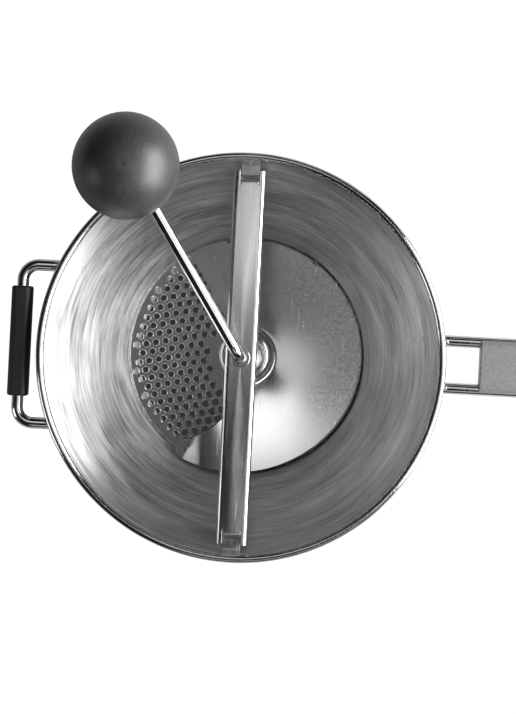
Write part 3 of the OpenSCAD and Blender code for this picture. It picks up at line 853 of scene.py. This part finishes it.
crank_joint = next(j for j in frame["joints"] if j["name"] == "knob_spin")
knob_axis = Vector(crank_joint["pos_m"]) / mm
out = Vector((knob_axis.x, knob_axis.y, 0)).normalized()
crank_reach = Vector((knob_axis.x, knob_axis.y)).length
rod_low, rod_high = box_mm("crank_rod")
arm_slope = math.radians(10)
bend_r = 9
bend_z = bar_z + 1.8
reach_arc = bend_r * (1 - math.sin(arm_slope))
arm_rise = (crank_reach - 2 * reach_arc) * math.tan(arm_slope)
spindle_z = bend_z + 2 * bend_r * math.cos(arm_slope) + arm_rise
corner_rise = bend_r * math.tan((math.pi / 2 - arm_slope) / 2)
rod_path = [((0, 0, rod_low.z), 0), ((0, 0, bend_z + corner_rise), bend_r),
            (out * crank_reach + Vector((0, 0, spindle_z - corner_rise)), bend_r),
            (out * crank_reach + Vector((0, 0, rod_high.z)), 0)]
wire_steel = polished("bright_wire", ((0.52, 0.52, 0.525), (0.74, 0.74, 0.745)), (0.05, 0.12),
                      scratches=(90, 0.68), depth=0.003)
crank = rod("crank_rod_bent", rod_path, shaft_r, sides=36)
finish(crank, wire_steel, "crank", "bright_wire", "crank_rod")


# Shaft washer. A plain washer between the bush and the rod's first bend.
washer_low, washer_high = box_mm("shaft_washer")
washer = lathe("shaft_washer_plain", ring_section(
    shaft_r + 0.02, washer_high.x, washer_low.z, washer_high.z, 0.1, 0.25, 0.25, 0.1), sides=64)
finish(washer, bright_steel, "crank", "bright_steel", "shaft_washer")


# Blade. A polished plate that climbs round the hub like one turn of a screw, from the disc up to
# a rounded tip that is set level. Its inner edge is turned up against the hub.
blade_low = box_mm("blade")[0]
blade_in = 14.4
blade_t = 1.2
blade_rise = 15.4
blade_trail = 121.6
blade_tip = -124.5
blade_r = 61.8
lead_centre = Vector((-40, -10))
lead_r = 38.6
tip_round = 6
tip_share = 0.024
crease_at = 0.978


def lead_angle(r):
    """Angle of the leading edge, an arc, at a radius."""
    c = lead_centre.length
    cut_angle = math.acos((r * r + c * c - lead_r * lead_r) / (2 * r * c))
    return max(blade_tip, math.degrees(math.atan2(lead_centre.y, lead_centre.x) + cut_angle))


def blade_climb(angle):
    """Underside of the plate: nearly level behind, steeper towards the tip."""
    t = (blade_trail - angle) / (blade_trail - blade_tip)
    return blade_low.z + blade_rise * (0.22 * t + 0.78 * t ** 3)


def blade_edge(u):
    """Outer radius, which follows the bowl outwards as the plate climbs."""
    z = blade_climb(blade_trail + u * (blade_tip - blade_trail))
    w = max(0, (u - 1 + tip_share) / tip_share)
    grown = blade_r + 0.5 * max(0, z - neck_h + 0.5)
    return grown - tip_round * (1 - math.sqrt(max(0, 1 - w * w)))


def blade_point(u, v, lift):
    """A point of the plate at a share u of its sweep and v of its width."""
    r = blade_in + (blade_edge(u) - blade_in) * v
    angle = blade_trail + u * (lead_angle(r) - blade_trail)
    flare = 1.5 * max(0, (17 - r) / 2.6) ** 2
    tip_level = blade_climb(blade_trail + crease_at * (blade_tip - blade_trail))
    level = min(blade_climb(angle), tip_level)
    a = math.radians(angle)
    return (r * math.cos(a), r * math.sin(a), level + lift + flare)


def slab(name, top, under):
    """A closed plate between two grids of points."""
    rows, cols = len(top), len(top[0])
    points = [p for grid in (top, under) for row in grid for p in row]
    base = rows * cols
    faces = []
    for i in range(rows - 1):
        for j in range(cols - 1):
            a = i * cols + j
            quad = (a, a + 1, a + cols + 1, a + cols)
            faces += [quad, tuple(base + k for k in reversed(quad))]
    border = ([j for j in range(cols)] + [i * cols + cols - 1 for i in range(1, rows)]
              + [(rows - 1) * cols + j for j in range(cols - 2, -1, -1)]
              + [i * cols for i in range(rows - 2, 0, -1)])
    for a, b in zip(border, border[1:] + border[:1]):
        faces.append((a, b, b + base, a + base))
    return mesh_object(name, points, faces)


rows = [0.97 * i / 130 for i in range(131)]
rows += [0.9735, 0.977, 0.98, 0.983, 0.986, 0.989, 0.992, 0.9945, 0.9965, 0.998, 0.9992, 1]
cols = [0, 0.01, 0.02, 0.032, 0.045] + [0.06 + 0.94 * j / 22 for j in range(23)]
blade = slab("helical_blade", [[blade_point(u, v, blade_t) for v in cols] for u in rows],
             [[blade_point(u, v, 0) for v in cols] for u in rows])
broken_edges(blade, 0.3, segments=3, angle=50)
blade_steel = polished("polished_blade", ((0.50, 0.50, 0.505), (0.60, 0.60, 0.605)), (0.13, 0.2),
                       scratches=(40, 0.75), depth=0.001, patches=14)
finish(blade, blade_steel, "crank", "polished_blade", "blade")


# Blade hub. A domed cup pressed from sheet, with an inner tube on the shaft. The blade's turned-up
# edge is pressed and welded round its skirt.
hub_low, hub_high = box_mm("blade_hub")
skirt_r = hub_high.x
tube_low = 4.6
hub = lathe("domed_hub", rounded([
    ((shaft_r + 0.01, tube_low), 0.2), ((6.4, tube_low), 0.4), ((6.4, hub_high.z - 2.8), 1.2),
    ((skirt_r - 1.6, hub_high.z - 2.8), 2.4), ((skirt_r - 1.6, hub_low.z), 0.3),
    ((skirt_r, hub_low.z), 0.3), ((skirt_r, hub_high.z), 4.0),
    ((shaft_r + 0.01, hub_high.z), 0.4)]), sides=128)
finish(hub, blade_steel, "crank", "polished_blade", "blade_hub")


# Hub pin. A short steel pin through the shaft and the hub's tube that drives the hub.
pin_low, pin_high = box_mm("hub_pin")
pin_z = (pin_low.z + pin_high.z) / 2
across = Vector((-out.y, out.x, 0))
pin_half = 7
pin = rod("hub_drive_pin", [(across * side * pin_half + Vector((0, 0, pin_z)), 0)
                            for side in (-1, 1)], 1, sides=20, chamfer=0.25)
finish(pin, bright_steel, "crank", "bright_steel", "hub_pin")


# Ball knob. A hollow-bored ball of dark soft-touch plastic with a small sprue dimple on top. It
# turns on a pressed-in bush between a crimped collar and a push-on ring.
centre = (knob_axis.x, knob_axis.y)
collar_low, collar_high = box_mm("knob_collar")
ring_low, ring_high = box_mm("knob_retainer")
knob_low, knob_high = box_mm("knob")
sleeve_low, sleeve_high = box_mm("knob_bush")
collar = lathe("knob_collar_crimped", ring_section(
    shaft_r + 0.01, 5.2, collar_low.z, collar_high.z, 0.2, 0.6, 0.3, 0.2), 64, centre)
finish(collar, bright_steel, "crank", "bright_steel", "knob_collar")
push_ring = lathe("knob_ring_push_on", ring_section(
    shaft_r + 0.01, 4.1, ring_low.z, ring_high.z, 0.1, 0.2, 0.2, 0.3), 48, centre)
finish(push_ring, spring_steel, "crank", "spring_steel", "knob_retainer")
sleeve_r = 4.6
sleeve = lathe("knob_bush_sleeve", ring_section(
    shaft_r + running, sleeve_r, sleeve_low.z, sleeve_high.z, 0.3, 0.2, 0.2, 0.3), 64, centre)
finish(sleeve, bright_steel, "knob", "bright_steel", "knob_bush")

ball_r = (knob_high.x - knob_low.x) / 2
ball_z = knob_high.z - ball_r
flat_r = math.sqrt(ball_r ** 2 - (ball_z - knob_low.z) ** 2)
pocket_z = rod_high.z + 0.5
start_angle = math.degrees(math.asin((knob_low.z - ball_z) / ball_r))
dimple_deep = 0.28
dimple_r = 1.1
skin_steps = 72
skin = []
for k in range(1, skin_steps):
    a = math.radians(start_angle + (90 - start_angle) * k / skin_steps)
    r, z = ball_r * math.cos(a), ball_z + ball_r * math.sin(a)
    skin.append((r, z - dimple_deep * math.exp(-(r / dimple_r) ** 2)))
pocket_r = sleeve_r + 0.01
ball_outline = ([(0.001, pocket_z), (pocket_r, pocket_z), (pocket_r, knob_low.z + 0.3),
                 (sleeve_r + 0.4, knob_low.z), (flat_r - 0.6, knob_low.z),
                 (flat_r - 0.1, knob_low.z + 0.12)]
                + skin + [(0.001, knob_high.z - dimple_deep)])
ball = lathe("ball_knob", ball_outline, 128, centre)


def moulded(name, greys, rough, speckle, depth, patches):
    """Moulded plastic: a fine grain in colour and height, handled patches and paler worn edges."""
    made, tree, shader, where = material(name)
    fine = noise(tree, where, speckle, 3.0, Roughness=0.7)
    patch = place(tree, clouds_group, where, Scale=patches)["Patch"]
    scuff = place(tree, hairlines_group, where, Scale=24, Fewer=0.72)["Scratch"]
    edge = put(tree, "ShaderNodeNewGeometry").outputs["Pointiness"]
    worn = ramp(tree, edge, 0.53, 0.62)
    tone = maths(tree, "ADD", ramp(tree, fine, 0.35, 0.7), maths(tree, "MULTIPLY", worn, 0.5))
    level = maths(tree, "ADD", ramp(tree, fine, 0.3, 0.7, rough[0], rough[1]),
                  maths(tree, "MULTIPLY", patch, -0.06))
    relief = maths(tree, "SUBTRACT", fine, maths(tree, "MULTIPLY", scuff, 0.6))
    shade(tree, shader, greys, tone, level, relief, depth)
    return made


knob_plastic = moulded("charcoal_knob", ((0.018, 0.018, 0.019), (0.05, 0.05, 0.052)), (0.38, 0.5),
                       1500.0, 0.05, 30)
finish(ball, knob_plastic, "knob", "charcoal_knob", "knob")


# Bail. A bent 6 mm wire whose two ends are welded down the outside of the cone, with a black
# moulded sleeve to lift by.
wire_r = 3
bite = 0.25
wire_bend = 8
wire_foot_z = 44
wire_z = (box_mm("bail_grip")[0].z + box_mm("bail_grip")[1].z) / 2


def leg(y, side):
    """Foot and upper corner of a wire's leg that lies along the cone's outer skin."""
    def reach_at(z):
        skin_r = neck_r + wall + (z - neck_h + miter) * cone_k
        return math.sqrt((skin_r + (wire_r - bite) / math.cos(cone_a)) ** 2 - y * y)
    low = reach_at(wire_foot_z)
    slope = (reach_at(wire_foot_z + 20) - low) / 20
    return [((side * low, y, wire_foot_z), 0),
            ((side * (low + (wire_z - wire_foot_z) * slope), y, wire_z), wire_bend)]


def wire_loop(name, reach, side, bend, legs):
    """A U of wire: up the cone on one leg, across at its reach and down the cone again."""
    across = [((reach, y, wire_z), bend) for y in legs]
    return rod(name, leg(legs[0], side) + across + leg(legs[1], side)[::-1], wire_r)


bail_x = box_mm("bail_wire")[0].x + wire_r
bail = wire_loop("bail_wire_bent", bail_x, -1, wire_bend,
                 (bail_shift + bail_half, bail_shift - bail_half))
finish(bail, wire_steel, "mill", "bright_wire", "bail_wire")


def softened(length, rounding):
    """Stations along a moulding and how far each is drawn in, for rounded ends."""
    steps = 5
    turn = [math.pi / 2 * k / steps for k in range(steps + 1)]
    ends = [(rounding * (1 - math.cos(t)), rounding * (1 - math.sin(t))) for t in turn]
    return ([(along - length / 2, inset) for along, inset in ends]
            + [(length / 2 - along, inset) for along, inset in reversed(ends)])


def rounded_box(w, h, corner, inset):
    """A rounded rectangle drawn in by an inset, always with as many points."""
    x, y = w / 2 - inset, h / 2 - inset
    r = max(corner - inset, 0.3)
    return rounded([((x, y), r), ((-x, y), r), ((-x, -y), r), ((x, -y), r)])


grip_low, grip_high = box_mm("bail_grip")
grip_size = grip_high - grip_low
sleeve_y = (grip_high.y + grip_low.y) / 2
rings = []
for station, inset in softened(grip_size.y, 1.3):
    rings.append([(bail_x + x, sleeve_y + station, wire_z + z)
                  for x, z in rounded_box(grip_size.x, grip_size.z, 3.2, inset)])
count = len(rings[0])
turn = [math.pi / 4 + 2 * math.pi * (k - 2) / count for k in range(count)]
mouth = grip_size.y / 2
for station, r in ((mouth - 0.02, wire_r + 0.35), (mouth - 1.5, wire_r + 0.02),
                   (1.5 - mouth, wire_r + 0.02), (0.02 - mouth, wire_r + 0.35)):
    rings.append([(bail_x + r * math.cos(t), sleeve_y + station, wire_z + r * math.sin(t))
                  for t in turn])
bail_sleeve = smooth(loft("bail_sleeve", rings), crease=40)
black_plastic = moulded("black_grip", ((0.004, 0.004, 0.0042), (0.011, 0.011, 0.0115)), (0.5, 0.62),
                        1200.0, 0.03, 40)
finish(bail_sleeve, black_plastic, "mill", "black_grip", "bail_grip")


# Long handle. One U of 6 mm wire, both ends welded down the outside of the cone, with two grey
# shells closed round the rods by two screws from below.
loop_x = box_mm("handle_wire")[1].x - wire_r
handle = wire_loop("handle_wire_bent", loop_x, 1, rod_half,
                   (handle_shift - rod_half, handle_shift + rod_half))
finish(handle, wire_steel, "mill", "bright_wire", "handle_wire")

shell_low, shell_high = box_mm("handle_grip_top")
shell_w = shell_high.y - shell_low.y
shell_h = shell_high.z - wire_z
shell_len = shell_high.x - shell_low.x
shell_middle = (shell_high.x + shell_low.x) / 2


def shell_section(inset):
    """Half of the grip's cross-section, with a groove along each rod."""
    w, h = shell_w / 2 - inset, shell_h - inset
    corner = 3.5 - inset
    groove = wire_r + 0.03
    top_turn = math.acos((w - rod_half) / groove)
    turn = [math.pi + (top_turn - math.pi) * k / 10 for k in range(11)]
    right_side = [(rod_half + groove * math.cos(t), groove * math.sin(t)) for t in turn]
    right_side += [(w - corner + corner * math.sin(t), h - corner + corner * math.cos(t))
                   for t in (math.pi / 2 * (1 - k / 8) for k in range(9))]
    crown = [(w - corner) * (1 - k / 4) for k in range(1, 4)]
    return (right_side + [(y, h) for y in crown] + [(-y, h) for y in reversed(crown)]
            + [(-y, z) for y, z in reversed(right_side)])


grey_plastic = moulded("grey_grip", ((0.17, 0.17, 0.172), (0.26, 0.26, 0.263)), (0.36, 0.48),
                       1300.0, 0.04, 35)
screw_x = (shell_low.x + 20, shell_high.x - 20)
counterbore = ring_section(axis_r, 3, wire_z - shell_h - 1, wire_z - shell_h + 2.5)
for name, node, way in (("grip_shell_top", "handle_grip_top", 1),
                        ("grip_shell_bottom", "handle_grip_bottom", -1)):
    rings = []
    for along, inset in softened(shell_len, 0.9):
        rings.append([(shell_middle + along, handle_shift + y,
                       wire_z + way * (z + 0.04 * (z < 0.01)))
                      for y, z in shell_section(inset)])
    shell = smooth(loft(name, rings, closed=False))
    if way < 0:
        for x in screw_x:
            cut(shell, lathe("counterbore", counterbore, 48, (x, handle_shift)))
        smooth(shell)
    finish(shell, grey_plastic, "mill", "grey_grip", node)


# Grip screws. Two cross-recessed pan-head screws, sunk in counterbores in the lower shell.
screw_low, screw_high = box_mm("grip_screws")
head_r = 2.8
head_h = 2
shank_r = 1.5
screw = lathe("grip_screws_pan_head", rounded([
    ((axis_r, screw_low.z), 0), ((head_r, screw_low.z), 1.0), ((head_r, screw_low.z + head_h), 0.2),
    ((shank_r, screw_low.z + head_h), 0.2), ((shank_r, screw_high.z), 0.5),
    ((axis_r, screw_high.z), 0)]), 48, (screw_x[0], handle_shift))
for along, wide in ((1.5, 0.4), (0.4, 1.5)):
    cut(screw, block("recess", (screw_x[0] - along, handle_shift - wide, screw_low.z - 1),
                     (screw_x[0] + along, handle_shift + wide, screw_low.z + 0.9)))
row = screw.modifiers.new("pair", "ARRAY")
row.count = 2
row.use_relative_offset = False
row.use_constant_offset = True
row.constant_offset_displace = ((screw_x[1] - screw_x[0]) * mm, 0, 0)
smooth(applied(screw))
screw_steel = polished("screw_steel", ((0.36, 0.36, 0.365), (0.5, 0.5, 0.505)), (0.2, 0.34))
finish(screw, screw_steel, "mill", "screw_steel", "grip_screws")
